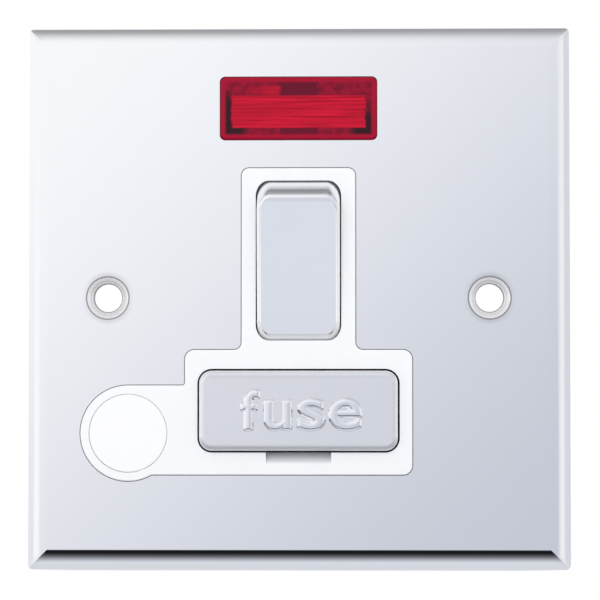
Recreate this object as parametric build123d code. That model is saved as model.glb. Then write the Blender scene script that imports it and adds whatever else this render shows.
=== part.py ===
from build123d import *
import math
import os

# Single gang switched fused connection unit with a neon and a flex outlet, in millimetres.
# The wall is the plane Y = 0, the front looks towards -Y, +X is right and +Z is up.
# The origin lies on the wall, midway between the two fixing screws. The switch is shown on.

# Front plate: one pressed, chromed steel sheet with a bowed edge
PLATE_SIDE = 86.0
PLATE_DEPTH = 4.5            # wall to front face
SHEET = 1.0
EDGE_RUN = 3.3               # width of the bowed edge, seen from the front
EDGE_DROP = 3.0              # depth of the bowed edge
EDGE_BOW = 0.77              # rise of the bow over its chord
CORNER_ROUND = 1.2
CORNER_EASE = 0.05           # the corners' round stops short of tangent at the sides
FIXING_PITCH = 60.3
FIXING_RADIUS = 2.2
SINK_RADIUS = 3.2
SINK_EDGE = 0.3              # softened edge of the countersinks
OPENING_GAP = 0.12           # plate round the insert and the lens
STUD_RADIUS = 1.2
STUD_HIGH_Z = 20.5
STUD_LOW_Z = -2.5
STUD_FIT = 0.15
RETAINER_RADIUS = 2.3
RETAINER_THICKNESS = 0.6

# Rocker, a chromed cap on a plastic body that turns on two trunnions
ROCKER_Z = 5.9
ROCKER_WIDTH = 13.1
ROCKER_RADIUS = 14.6         # rounded ends, about the pivot
ROCKER_FACE = 9.5            # pivot to flat face
ROCKER_GAP = 0.2
ROCKER_RIM = 2.2             # round of the rocker's corners
ROCKER_EDGE = 0.75
WELL_RIM = 2.1               # round of the well's corners
ROCKER_TILT = 6.0            # either side of level
PIVOT_DEPTH = 7.7            # pivot behind the insert's face
CAP_SKIRT = 5.0
CAP_WALL = 1.0
CAP_FIT = 0.05
FLANGE = 1.5
NECK_HALF = 4.5              # half height of the body's neck
NECK_BACK = 3.5              # neck behind the pivot
TRUNNION_RADIUS = 1.5
TRUNNION_FIT = 0.05
CHEEK = 1.6
CHEEK_MARGIN = 1.7           # plastic round the trunnion

# Switch mechanism: spring plungers that tip two contact bridges
POLE_X = 3.1
PLUNGER_RADIUS = 1.5
PLUNGER_FIT = 0.05
PLUNGER_INSIDE = 0.5         # plunger in front of the pivot
PLUNGER_GAP = 0.15           # tip to level bridge
SPRING_LENGTH = 5.0
SPRING_TURNS = 4
SPRING_RADIUS = 1.1
SPRING_WIRE = 0.25
BRIDGE_HALF = 10.5
BRIDGE_WIDTH = 3.8
BRIDGE_THICKNESS = 1.2
BRIDGE_TILT = 6.5
SADDLE_RISE = 3.4            # bridge in front of its strip
RIDGE_RADIUS = 0.6
RIDGE_FIT = 0.08
CONTACT_ARM = 9.0
TIP_RADIUS = 1.2
TIP_HEIGHT = 0.7
TIP_GAP = 0.05
BARRIER = 1.0

# Fuse and its drawer
FUSE_Z = -17.8
FUSE_DEPTH = 10.75           # fuse axis behind the insert's face
FUSE_LENGTH = 25.4
FUSE_RADIUS = 3.175
FUSE_CAP_LENGTH = 6.0
FUSE_CAP_WALL = 0.35
FUSE_PLAY = 0.3
FUSE_FIT = 0.08
RAIL = 2.65
RAIL_BACK = 8.0              # rail behind the fuse axis
CARRIER_MARGIN = 3.125       # drawer above and below the fuse
CARRIER_PROUD = 1.2
CARRIER_GAP = 0.3
CARRIER_ROUND = 2.0
CARRIER_EDGE = 0.8
PAN_DEPTH = 2.0              # chromed drawer face
PAN_WALL = 0.8
DRAWER_WALL = 2.4
CRADLE_HALF = 5.5
CRADLE_FLOOR = 2.0
LUG = 0.35
LUG_LENGTH = 1.3
LUG_HEIGHT = 3.0
DRAWER_TRAVEL = 16.0
TUNNEL_WALL = 1.2
TUNNEL_SIDE = 1.4
PRY_WIDTH = 10.3             # screwdriver scoop under the drawer
PRY_HEIGHT = 1.7
PRY_DEPTH = 1.6

# Insert moulding, seen through the plate
INSERT_PROUD = 0.25
INSERT_EDGE = 0.2
DECK = 2.0
DECK_LEDGE = 1.45            # deck outside the rear housing
STEM_BORDER = 2.25
STEM_TOP_BORDER = 2.0
STEM_ROUND = 1.2
BOX_SIDE_BORDER = 2.0
BOX_TOP_BORDER = 3.0
BOX_LOW_BORDER = 3.5
BOX_ROUND = 1.5
WING_ROUND = 0.4
DECK_ROUND = 3.0

# Flex outlet, its blank and the cord clamp
FLEX_X = -26.9
FLEX_Z = -21.35
FLEX_RADIUS = 6.2
FLEX_TUBE_WALL = 1.3
FLEX_TUBE_BACK = 8.0
LOBE_BORDER = 1.35
BLANK_FIT = 0.05
BLANK_FACE = 1.4
BLANK_SKIRT = 5.5
BLANK_WALL = 0.9
CLAMP_SPAN = 11.7            # between the clamp's screws
CLAMP_ABOVE = 3.2            # clamp screws above the flex tube
CLAMP_BOSS_RADIUS = 2.3
CLAMP_BOSS_BACK = 8.0
CLAMP_THICKNESS = 2.4
CLAMP_WIDTH = 5.0
ANVIL_BACK = 2.5
ANVIL_WIDTH = 2.0
CLAMP_SCREW_RADIUS = 1.4
CLAMP_HEAD_RADIUS = 2.2
CLAMP_HEAD = 1.5

# Neon
LENS_LOWER = 1.77            # lens below the middle of the plate above the stem
LENS_WIDTH = 24.7
LENS_HEIGHT = 9.9
LENS_ROUND = 0.9
LENS_PROUD = 0.4
LENS_EDGE = 0.35
LENS_WALL = 1.2
LENS_RIM = 1.3               # lens side walls
LENS_FLANGE = 1.0            # lip trapped behind the plate
LENS_FIT = 0.1
RIB_PITCH = 0.6
RIB_HEIGHT = 0.35
RIB_ZONE = 4.8
LAMP_RADIUS = 2.6
LAMP_LENGTH = 14.0
LAMP_DEPTH = 1.2
LAMP_FIT = 0.05
LAMP_HOLDER = 1.2
LAMP_HOLDER_X = 3.5
LEAD_RADIUS = 0.5
LEAD_GAP = 0.2               # between the lamp's two leads
LEAD_BEND = 1.5
RESISTOR_RADIUS = 1.2
RESISTOR_LENGTH = 6.5
RESISTOR_ROUND = 0.4

# Terminals, strips and rear housing
HOUSING_DEPTH = 20.0         # rear face behind the wall
HOUSING_WALL = 1.3
HOUSING_FLOOR = 2.5
HOUSING_INNER_ROUND = 0.4
CLEARANCE = 0.15             # brass in its pocket, moulding beside moulding
TERMINAL_TOP_Z = 17.5
TERMINAL_WIDTH = 9.0
TERMINAL_HEIGHT = 8.4
TERMINAL_DEPTH = 8.0
POCKET_RIB = 0.9
POCKET_DEPTH = 7.0
WIRE_RADIUS = 1.9
WIRE_DEPTH = 5.0             # wire hole in front of the housing floor
WIRE_ENTRY_RADIUS = 2.4
TERMINAL_SCREW_RADIUS = 1.7
TERMINAL_SCREW_FIT = 0.05
TERMINAL_HEAD_RADIUS = 2.1
TERMINAL_HEAD = 1.6
HEAD_FIT = 0.2
STRIP = 0.8
STRIP_WIDTH = 3.6
LEAF = 0.6
LEAF_FIT = 0.07
LEAF_MOUTH = 3.6             # leaf tips in front of the fuse axis
LINK_MARGIN = 0.6            # between a fuse clip's strip and the terminal pockets
STRAP_WIDTH = 4.0
STRAP_Z = 6.0
STRAP_FOOT = 4.0
PILLAR_RADIUS = 2.6
PILLAR_BACK = 9.0
PILLAR_MARGIN = 0.4
PILLAR_LOW_X = 14.0
SCREW_RADIUS = 1.2
SCREW_FIT = 0.05
SCREW_CLEAR = 0.2
SCREW_HEAD_RADIUS = 2.2
SCREW_HEAD = 1.5
SCREW_HEAD_SINK = 1.8
SCREW_BITE = 8.0
SLOT_WIDTH = 0.7
SLOT_DEPTH = 0.6

# Planes that follow from the sizes, along Y
FACE = -PLATE_DEPTH
SHEET_BACK = FACE + SHEET
DECK_BACK = SHEET_BACK + DECK
INSERT_FACE = FACE - INSERT_PROUD
PIVOT_Y = INSERT_FACE + PIVOT_DEPTH
FLOOR = HOUSING_DEPTH - HOUSING_FLOOR
STRIP_FRONT = FLOOR - STRIP
FUSE_Y = INSERT_FACE + FUSE_DEPTH
CARRIER_FACE = INSERT_FACE - CARRIER_PROUD
PAN_BACK = CARRIER_FACE + PAN_DEPTH
RAIL_END = FUSE_Y + RAIL_BACK
LENS_FACE = FACE - LENS_PROUD
BRIDGE_Y = STRIP_FRONT - SADDLE_RISE
PLUNGER_REACH = BRIDGE_Y - BRIDGE_THICKNESS - PLUNGER_GAP - PIVOT_Y
TERMINAL_FRONT = FLOOR - TERMINAL_DEPTH
WIRE_Y = FLOOR - WIRE_DEPTH
TUNNEL_BACK = RAIL_END - LUG_LENGTH

# Places that follow from the sizes, along X and Z
WELL_RADIUS = ROCKER_RADIUS + ROCKER_GAP
WELL_WIDTH = ROCKER_WIDTH + 2 * ROCKER_GAP
WELL_HALF = math.sqrt(WELL_RADIUS**2 - PIVOT_DEPTH**2)
STEM_HALF = WELL_WIDTH / 2 + STEM_BORDER
STEM_TOP = ROCKER_Z + WELL_HALF + STEM_TOP_BORDER
LENS_Z = (STEM_TOP + PLATE_SIDE / 2) / 2 - LENS_LOWER
CARRIER_HALF = FUSE_LENGTH / 2 + FUSE_PLAY + RAIL
CARRIER_RISE = FUSE_RADIUS + CARRIER_MARGIN
TUNNEL_HALF = CARRIER_HALF + CARRIER_GAP
TUNNEL_RISE = CARRIER_RISE + CARRIER_GAP
BOX_HALF = TUNNEL_HALF + BOX_SIDE_BORDER
BOX_TOP = FUSE_Z + TUNNEL_RISE + BOX_TOP_BORDER
BOX_LOW = FUSE_Z - TUNNEL_RISE - BOX_LOW_BORDER
TUNNEL_LOW = FUSE_Z - TUNNEL_RISE - TUNNEL_WALL
LOBE_RADIUS = FLEX_RADIUS + LOBE_BORDER
TUBE_RADIUS = FLEX_RADIUS + FLEX_TUBE_WALL
TERMINAL_PITCH = TERMINAL_HEIGHT + POCKET_RIB + 2 * CLEARANCE
LEAF_X = (FUSE_LENGTH - FUSE_CAP_LENGTH) / 2
POCKET_HALF = TERMINAL_WIDTH / 2 + CLEARANCE
TERMINAL_X = LEAF_X + STRIP_WIDTH / 2 + LINK_MARGIN + POCKET_RIB + POCKET_HALF
TERMINAL_Z = [TERMINAL_TOP_Z - row * TERMINAL_PITCH for row in range(3)]
HOUSING_HALF = TERMINAL_X + POCKET_HALF + HOUSING_WALL
HOUSING_TOP = LENS_Z + LENS_HEIGHT / 2
HOUSING_LOW = TUNNEL_LOW - 2 * PILLAR_RADIUS - PILLAR_MARGIN - HOUSING_WALL
STEP_Z = TERMINAL_Z[2] - TERMINAL_HEIGHT / 2 - CLEARANCE - HOUSING_WALL
STEP_X = TUNNEL_HALF + TUNNEL_SIDE + CLEARANCE + HOUSING_WALL
DECK_HALF = HOUSING_HALF + DECK_LEDGE
DECK_TOP = HOUSING_TOP + LENS_FLANGE + DECK_LEDGE
DECK_LOW = HOUSING_LOW - DECK_LEDGE
STUD_X = HOUSING_HALF - HOUSING_WALL - RETAINER_RADIUS - CLEARANCE
PILLAR_HIGH_X = HOUSING_HALF - HOUSING_WALL - PILLAR_RADIUS - PILLAR_MARGIN
PILLAR_HIGH_Z = HOUSING_TOP - HOUSING_WALL - PILLAR_RADIUS - PILLAR_MARGIN
PILLAR_LOW_Z = HOUSING_LOW + HOUSING_WALL + PILLAR_RADIUS + PILLAR_MARGIN / 2
CLAMP_Z = FLEX_Z + TUBE_RADIUS + CLAMP_ABOVE
CLAMP_RIGHT = -STEP_X - CLAMP_BOSS_RADIUS - CLEARANCE
CLAMP_XS = [CLAMP_RIGHT - CLAMP_SPAN, CLAMP_RIGHT]
LEAD_X = -(TERMINAL_X - TERMINAL_WIDTH / 2 + 2 * LEAD_RADIUS)
LIVE_LEAD_X = LEAD_X - LEAD_RADIUS - RESISTOR_RADIUS - CLEARANCE
RESISTOR_TOP = LENS_Z - LAMP_RADIUS - 2 * LEAD_BEND - RESISTOR_LENGTH / 2
RESISTOR_LOW = RESISTOR_TOP - RESISTOR_LENGTH
BRIDGE_LIFT = math.radians(BRIDGE_TILT)
TIP_REACH = TIP_HEIGHT * math.cos(BRIDGE_LIFT) + (CONTACT_ARM + TIP_RADIUS) * math.sin(BRIDGE_LIFT)
CONTACT_Y = BRIDGE_Y + TIP_REACH + TIP_GAP
STOP_Y = BRIDGE_Y + BRIDGE_HALF * math.sin(BRIDGE_LIFT) + TIP_GAP

FIXING_POINTS = [(-FIXING_PITCH / 2, 0), (FIXING_PITCH / 2, 0)]
STUD_POINTS = [(side * STUD_X, z) for side in (-1, 1) for z in (STUD_LOW_Z, STUD_HIGH_Z)]
PILLAR_POINTS = [(side * PILLAR_LOW_X, PILLAR_LOW_Z) for side in (-1, 1)]
PILLAR_POINTS += [(side * PILLAR_HIGH_X, PILLAR_HIGH_Z) for side in (-1, 1)]
CLAMP_POINTS = [(x, CLAMP_Z) for x in CLAMP_XS]
TERMINAL_POINTS = [(side * TERMINAL_X, z) for side in (-1, 1) for z in TERMINAL_Z]


def block(x, y, z):
    """A box from its low and high limits along X, Y and Z."""
    middle = [(low + high) / 2 for low, high in (x, y, z)]
    return Pos(*middle) * Box(*[high - low for low, high in (x, y, z)])


def about(middle, width):
    """The low and high limits of a width about its middle."""
    return middle - width / 2, middle + width / 2


def rod(point, radius, front, back):
    """A cylinder along Y at an (x, z) point."""
    x, z = point
    return Pos(x, (front + back) / 2, z) * Rot(-90, 0, 0) * Cylinder(radius, back - front)


def cone(point, front_radius, back_radius, front, back):
    """A cone along Y at an (x, z) point."""
    x, z = point
    return Pos(x, (front + back) / 2, z) * Rot(-90, 0, 0) * Cone(front_radius, back_radius, back - front)


def cross_rod(left, right, y, z, radius):
    """A cylinder along X."""
    return Pos((left + right) / 2, y, z) * Rot(0, 90, 0) * Cylinder(radius, right - left)


def slab(sketch, front, back):
    """A sketch in X and Z, given its thickness along Y."""
    return extrude(Plane.XZ.offset(-back) * sketch, amount=back - front)


def fillet_front(part, radius):
    """The part with the edges of its foremost face rounded."""
    return fillet(part.edges().group_by(Axis.Y)[0], radius)


def rounded(width, height, radius, x=0, z=0):
    return Pos(x, z) * RectangleRounded(width, height, radius)


def screw(point, radius, head_radius, head, seat, tip):
    """A slotted screw driven from behind: its head rests on the plane Y = seat."""
    body = rod(point, radius, tip, seat) + rod(point, head_radius, seat, seat + head)
    x, z = point
    top = seat + head
    return body - block(about(x, 2 * head_radius + SLOT_WIDTH), (top - SLOT_DEPTH, top), about(z, SLOT_WIDTH))


# Front plate


def insert_outline():
    """The white face: a stem round the rocker, a box round the drawer and a lobe round the flex outlet."""
    wing_top = FLEX_Z + LOBE_RADIUS
    points = [
        (FLEX_X, wing_top),
        (-BOX_HALF, wing_top),
        (-BOX_HALF, BOX_TOP),
        (-STEM_HALF, BOX_TOP),
        (-STEM_HALF, STEM_TOP),
        (STEM_HALF, STEM_TOP),
        (STEM_HALF, BOX_TOP),
        (BOX_HALF, BOX_TOP),
        (BOX_HALF, BOX_LOW),
        (FLEX_X, BOX_LOW),
    ]
    radii = [0, WING_ROUND, BOX_ROUND] + [STEM_ROUND] * 4 + [BOX_ROUND] * 2 + [0]
    tee = make_face(FilletPolyline(*points, radius=radii, close=True))
    return tee + Pos(FLEX_X, FLEX_Z) * Circle(LOBE_RADIUS)


def bowed_section(back):
    """The plate cut across: flat face, bowed edges and short sides, as (Y, Z)."""
    half = PLATE_SIDE / 2
    inner, shoulder = half - EDGE_RUN, FACE + EDGE_DROP
    chord = math.hypot(EDGE_RUN, EDGE_DROP)
    bow_y = (FACE + shoulder) / 2 - EDGE_BOW * EDGE_RUN / chord
    bow_z = (inner + half) / 2 + EDGE_BOW * EDGE_DROP / chord
    outline = Curve() + [
        Line((back, -half), (shoulder, -half)),
        ThreePointArc((shoulder, -half), (bow_y, -bow_z), (FACE, -inner)),
        Line((FACE, -inner), (FACE, inner)),
        ThreePointArc((FACE, inner), (bow_y, bow_z), (shoulder, half)),
        Line((shoulder, half), (back, half)),
        Line((back, half), (back, -half)),
    ]
    return make_face(outline)


def crossed(section):
    """A section run along X and along Z, and what the two runs share."""
    run = extrude(Plane.YZ * section, amount=PLATE_SIDE / 2, both=True)
    return run & (Rot(0, 90, 0) * run)


def front_plate():
    plate = crossed(bowed_section(0))
    eased = PLATE_SIDE + 2 * CORNER_EASE
    plate &= slab(RectangleRounded(eased, eased, CORNER_ROUND), FACE, 0)
    plate -= crossed(offset(bowed_section(2 * SHEET), amount=-SHEET))
    sink_depth = SINK_RADIUS - FIXING_RADIUS
    for point in FIXING_POINTS:
        sink_back = FACE + sink_depth + SHEET
        plate += cone(point, SINK_RADIUS + SHEET, FIXING_RADIUS + SHEET, SHEET_BACK, sink_back)
        plate -= cone(point, SINK_RADIUS, FIXING_RADIUS, FACE, FACE + sink_depth)
        plate -= rod(point, FIXING_RADIUS, FACE, sink_back)
    sink_edges = plate.edges().filter_by(GeomType.CIRCLE).group_by(Axis.Y)[0]
    plate = fillet(sink_edges, SINK_EDGE)
    plate -= slab(offset(insert_outline(), amount=OPENING_GAP), FACE, SHEET_BACK)
    window = rounded(LENS_WIDTH + 2 * OPENING_GAP, LENS_HEIGHT + 2 * OPENING_GAP, LENS_ROUND, 0, LENS_Z)
    plate -= slab(window, FACE, SHEET_BACK)
    for point in STUD_POINTS:
        plate += rod(point, STUD_RADIUS, SHEET_BACK, DECK_BACK + 2 * RETAINER_THICKNESS)
    return plate


def plate_retainers():
    """Push-on washers on the plate's studs, domed towards the rear."""
    rings = []
    back = DECK_BACK + RETAINER_THICKNESS
    for point in STUD_POINTS:
        washer = cone(point, RETAINER_RADIUS, STUD_RADIUS + STUD_FIT, DECK_BACK, back)
        rings.append(washer - rod(point, STUD_RADIUS, DECK_BACK, back))
    return Compound(children=rings)


# Insert moulding


def rocker_puck(radius, width, rim):
    """A disc about the pivot with a rounded rim: the envelope of the swinging rocker."""
    disc = Rot(0, 90, 0) * Cylinder(radius, width)
    return fillet(disc.edges().filter_by(GeomType.CIRCLE), rim)


def deck_outline():
    deck = rounded(2 * DECK_HALF, DECK_TOP - DECK_LOW, DECK_ROUND, 0, (DECK_TOP + DECK_LOW) / 2)
    left = CLAMP_XS[0] - CLAMP_BOSS_RADIUS
    wing_top = CLAMP_Z + CLAMP_BOSS_RADIUS
    wing_low = FLEX_Z - TUBE_RADIUS
    wing = rounded(-left, wing_top - wing_low, DECK_ROUND, left / 2, (wing_top + wing_low) / 2)
    return deck + wing


def pry_scoop():
    """A sloping hollow that lets a screwdriver lift the drawer."""
    low = FUSE_Z - TUNNEL_RISE
    corners = [(INSERT_FACE, low - PRY_HEIGHT), (INSERT_FACE, low), (INSERT_FACE + PRY_DEPTH, low)]
    wedge = make_face(Polyline(*corners, close=True))
    return extrude(Plane.YZ * wedge, amount=PRY_WIDTH / 2, both=True)


def insert_moulding():
    body = fillet_front(slab(insert_outline(), INSERT_FACE, SHEET_BACK), INSERT_EDGE)
    body += slab(deck_outline(), SHEET_BACK, DECK_BACK)
    cheek_half = TRUNNION_RADIUS + CHEEK_MARGIN
    for side in (-1, 1):
        cheek_x = sorted((side * WELL_WIDTH / 2, side * (WELL_WIDTH / 2 + CHEEK)))
        body += block(cheek_x, (SHEET_BACK, PIVOT_Y + cheek_half), about(ROCKER_Z, 2 * cheek_half))
    tunnel_width, tunnel_height = 2 * (TUNNEL_HALF + TUNNEL_SIDE), 2 * (TUNNEL_RISE + TUNNEL_WALL)
    tunnel = rounded(tunnel_width, tunnel_height, CARRIER_ROUND, 0, FUSE_Z)
    body += slab(tunnel, SHEET_BACK, TUNNEL_BACK)
    body += rod((FLEX_X, FLEX_Z), TUBE_RADIUS, SHEET_BACK, FLEX_TUBE_BACK)
    for point in PILLAR_POINTS:
        body += rod(point, PILLAR_RADIUS, SHEET_BACK, PILLAR_BACK)
    for point in CLAMP_POINTS:
        body += rod(point, CLAMP_BOSS_RADIUS, SHEET_BACK, CLAMP_BOSS_BACK)
    body += block(CLAMP_XS, (SHEET_BACK, ANVIL_BACK), about(CLAMP_Z, ANVIL_WIDTH))

    pivot = Pos(0, PIVOT_Y, ROCKER_Z)
    body -= pivot * rocker_puck(WELL_RADIUS, WELL_WIDTH, WELL_RIM)
    outer = WELL_WIDTH / 2 + CHEEK
    body -= cross_rod(-outer, outer, PIVOT_Y, ROCKER_Z, TRUNNION_RADIUS + TRUNNION_FIT)
    opening = rounded(2 * TUNNEL_HALF, 2 * TUNNEL_RISE, CARRIER_ROUND + CARRIER_GAP, 0, FUSE_Z)
    body -= slab(opening, INSERT_FACE, TUNNEL_BACK)
    groove_front = RAIL_END - LUG_LENGTH - DRAWER_TRAVEL - CLEARANCE
    groove_x = about(0, 2 * (TUNNEL_HALF + LUG))
    groove_z = about(FUSE_Z, LUG_HEIGHT + 2 * CARRIER_GAP)
    body -= block(groove_x, (groove_front, TUNNEL_BACK), groove_z)
    body -= pry_scoop()
    body -= rod((FLEX_X, FLEX_Z), FLEX_RADIUS, INSERT_FACE, FLEX_TUBE_BACK)
    lip = LENS_FLANGE + LENS_FIT
    recess = rounded(LENS_WIDTH + 2 * lip, LENS_HEIGHT + 2 * lip, LENS_ROUND, 0, LENS_Z)
    body -= slab(recess, SHEET_BACK, SHEET_BACK + LENS_FLANGE)
    light_hole = rounded(LENS_WIDTH - 2 * LENS_RIM, LENS_HEIGHT - 2 * LENS_RIM, LENS_ROUND, 0, LENS_Z)
    body -= slab(light_hole, SHEET_BACK, DECK_BACK)
    for point in STUD_POINTS:
        body -= rod(point, STUD_RADIUS + STUD_FIT, SHEET_BACK, DECK_BACK)
    for point in PILLAR_POINTS:
        body -= rod(point, SCREW_RADIUS + SCREW_FIT, PILLAR_BACK - SCREW_BITE - SCREW_FIT, PILLAR_BACK)
    for point in CLAMP_POINTS:
        body -= rod(point, CLAMP_SCREW_RADIUS + SCREW_FIT, DECK_BACK, CLAMP_BOSS_BACK)
    foot_x, foot_z = strap_foot()
    body -= block(
        (foot_x[0] - CLEARANCE, foot_x[1] + CLEARANCE),
        (SHEET_BACK, DECK_BACK),
        (foot_z[0] - CLEARANCE, foot_z[1] + CLEARANCE),
    )
    return body


# Neon


def neon_lens():
    """Red lens with a lip behind the plate and prism ribs across its inside."""
    lens = slab(rounded(LENS_WIDTH, LENS_HEIGHT, LENS_ROUND, 0, LENS_Z), LENS_FACE, SHEET_BACK)
    lens = fillet_front(lens, LENS_EDGE)
    lip = rounded(LENS_WIDTH + 2 * LENS_FLANGE, LENS_HEIGHT + 2 * LENS_FLANGE, LENS_ROUND, 0, LENS_Z)
    lens += slab(lip, SHEET_BACK, SHEET_BACK + LENS_FLANGE)
    hollow_front = LENS_FACE + LENS_WALL
    hollow = rounded(LENS_WIDTH - 2 * LENS_RIM, LENS_HEIGHT - 2 * LENS_RIM, LENS_ROUND, 0, LENS_Z)
    lens -= slab(hollow, hollow_front, SHEET_BACK + LENS_FLANGE)
    count = round(RIB_ZONE / RIB_PITCH)
    low = LENS_Z - count * RIB_PITCH / 2
    points = [(hollow_front - LENS_WALL / 2, low), (hollow_front, low)]
    for rib in range(count):
        points.append((hollow_front + RIB_HEIGHT, low + (rib + 0.5) * RIB_PITCH))
        points.append((hollow_front, low + (rib + 1) * RIB_PITCH))
    points.append((hollow_front - LENS_WALL / 2, low + count * RIB_PITCH))
    teeth = make_face(Polyline(*points, close=True))
    return lens + extrude(Plane.YZ * teeth, amount=LENS_WIDTH / 2 - LENS_RIM, both=True)


def neon_lamp():
    """A sealed glass bulb on its side, with a rounded nose and a pinched foot."""
    foot, nose = -LAMP_LENGTH / 2, LAMP_LENGTH / 2
    outline = Curve() + [
        Line((foot, 0), (foot, LAMP_RADIUS / 2)),
        Line((foot, LAMP_RADIUS / 2), (foot + LAMP_RADIUS / 2, LAMP_RADIUS)),
        Line((foot + LAMP_RADIUS / 2, LAMP_RADIUS), (nose - LAMP_RADIUS, LAMP_RADIUS)),
        CenterArc((nose - LAMP_RADIUS, 0), LAMP_RADIUS, 90, -90),
        Line((nose, 0), (foot, 0)),
    ]
    return Pos(0, LAMP_DEPTH, LENS_Z) * revolve(make_face(outline), Axis.X)


def neon_resistor():
    place = Pos(LIVE_LEAD_X, LAMP_DEPTH, (RESISTOR_LOW + RESISTOR_TOP) / 2)
    body = place * Cylinder(RESISTOR_RADIUS, RESISTOR_LENGTH)
    return fillet(body.edges(), RESISTOR_ROUND)


def lead(points):
    """An insulated wire along straight runs with rounded bends."""
    if len(points) > 2:
        path = FilletPolyline(*points, radius=LEAD_BEND)
    else:
        path = Line(*points)
    return sweep(Plane(origin=path @ 0, z_dir=path % 0) * Circle(LEAD_RADIUS), path=path)


def neon_leads():
    """Lamp to neutral load terminal, lamp to resistor, resistor to live load terminal."""
    foot, y, live_x = -LAMP_LENGTH / 2, LAMP_DEPTH, LIVE_LEAD_X
    low_z, high_z = about(LENS_Z, 2 * LEAD_RADIUS + LEAD_GAP)
    neutral_z, live_z = TERMINAL_Z[1], TERMINAL_Z[2]
    neutral = [(foot, y, low_z), (LEAD_X, y, low_z), (LEAD_X, y, neutral_z)]
    neutral.append((LEAD_X, TERMINAL_FRONT, neutral_z))
    upper = [(foot, y, high_z), (live_x, y, high_z), (live_x, y, RESISTOR_TOP)]
    lower = [(live_x, y, RESISTOR_LOW), (live_x, y, live_z), (live_x, TERMINAL_FRONT, live_z)]
    return Compound(children=[lead(neutral), lead(upper), lead(lower)])


# Rocker and switch mechanism, modelled level about the pivot, then tipped to on

ROCKER_PLACE = Pos(0, PIVOT_Y, ROCKER_Z) * Rot(ROCKER_TILT, 0, 0)
BRIDGE_PLACE = Pos(0, BRIDGE_Y, ROCKER_Z) * Rot(-BRIDGE_TILT, 0, 0)
CAP_BACK = CAP_SKIRT - ROCKER_FACE


def puck_slice(radius, width, rim, front, back):
    band = block((-width, width), (front, back), (-2 * radius, 2 * radius))
    return rocker_puck(radius, width, rim) & band


def rocker_cap():
    cap = puck_slice(ROCKER_RADIUS, ROCKER_WIDTH, ROCKER_RIM, -ROCKER_FACE, CAP_BACK)
    cap = fillet_front(cap, ROCKER_EDGE)
    inner = ROCKER_RADIUS - CAP_WALL
    cap -= puck_slice(inner, ROCKER_WIDTH - 2 * CAP_WALL, ROCKER_RIM / 2, CAP_WALL - ROCKER_FACE, CAP_BACK)
    return ROCKER_PLACE * cap


def rocker_body():
    wall = CAP_WALL + CAP_FIT
    width = ROCKER_WIDTH - 2 * wall
    body = puck_slice(ROCKER_RADIUS - wall, width, ROCKER_RIM / 2, wall - ROCKER_FACE, CAP_BACK)
    body += puck_slice(ROCKER_RADIUS, ROCKER_WIDTH, ROCKER_RIM, CAP_BACK, CAP_BACK + FLANGE)
    body += block(about(0, width), (CAP_BACK, NECK_BACK), (-NECK_HALF, NECK_HALF))
    tip = WELL_WIDTH / 2 + CHEEK
    body += cross_rod(-tip, tip, 0, 0, TRUNNION_RADIUS)
    for side in (-1, 1):
        bore_front = -PLUNGER_INSIDE - SPRING_LENGTH - PLUNGER_FIT
        body -= rod((side * POLE_X, 0), PLUNGER_RADIUS + PLUNGER_FIT, bore_front, NECK_BACK)
    return ROCKER_PLACE * body


def plunger(side):
    point = (side * POLE_X, 0)
    ball = PLUNGER_REACH - PLUNGER_RADIUS
    pin = rod(point, PLUNGER_RADIUS, -PLUNGER_INSIDE, ball)
    return ROCKER_PLACE * (pin + Pos(side * POLE_X, ball, 0) * Sphere(PLUNGER_RADIUS))


def plunger_spring(side):
    rise = SPRING_LENGTH - 2 * SPRING_WIRE
    path = Helix(pitch=rise / SPRING_TURNS, height=rise, radius=SPRING_RADIUS)
    coil = sweep(Plane(origin=path @ 0, z_dir=path % 0) * Circle(SPRING_WIRE), path=path, is_frenet=True)
    foot = SPRING_WIRE - PLUNGER_INSIDE - SPRING_LENGTH
    return ROCKER_PLACE * Pos(side * POLE_X, foot, 0) * Rot(-90, 0, 0) * coil


def contact_bridge(side):
    """A brass strip with round ends and a groove that rocks on the saddle's ridge."""
    strip = slab(
        Rot(0, 0, 90) * SlotOverall(2 * BRIDGE_HALF, BRIDGE_WIDTH), -BRIDGE_THICKNESS, 0
    )
    strip -= cross_rod(-BRIDGE_WIDTH, BRIDGE_WIDTH, 0, 0, RIDGE_RADIUS + RIDGE_FIT)
    return BRIDGE_PLACE * Pos(side * POLE_X, 0, 0) * strip


def bridge_tip(side):
    tip = rod((side * POLE_X, CONTACT_ARM), TIP_RADIUS, 0, TIP_HEIGHT)
    return BRIDGE_PLACE * fillet(tip.edges().group_by(Axis.Y)[-1], TIP_HEIGHT / 2)


def saddle(side):
    """The ridge under a bridge, on the foot of its own strip."""
    x = about(side * POLE_X, BRIDGE_WIDTH)
    post = block(x, (BRIDGE_Y, STRIP_FRONT), about(ROCKER_Z, 2 * RIDGE_RADIUS))
    return post + cross_rod(*x, BRIDGE_Y, ROCKER_Z, RIDGE_RADIUS)


def on_floor(x, z):
    """A stretch of flat strip that lies on the housing floor."""
    return block(x, (STRIP_FRONT, FLOOR), z)


TERMINAL_INNER = TERMINAL_X - TERMINAL_WIDTH / 2
SADDLE_Z = about(ROCKER_Z, STRIP_WIDTH)
CONTACT_Z = about(ROCKER_Z + CONTACT_ARM, STRIP_WIDTH)
LEAF_RIGHT = about(LEAF_X, STRIP_WIDTH)
LEAF_LEFT = about(-LEAF_X, STRIP_WIDTH)
LEAF_RISE = FUSE_RADIUS + LEAF_FIT
CLIP_Z = (FUSE_Z - LEAF_RISE - LEAF, FUSE_Z + LEAF_RISE + LEAF)
POLE_EDGE = POLE_X - BRIDGE_WIDTH / 2
LOAD_Z = about(TERMINAL_Z[2], STRIP_WIDTH)


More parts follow.
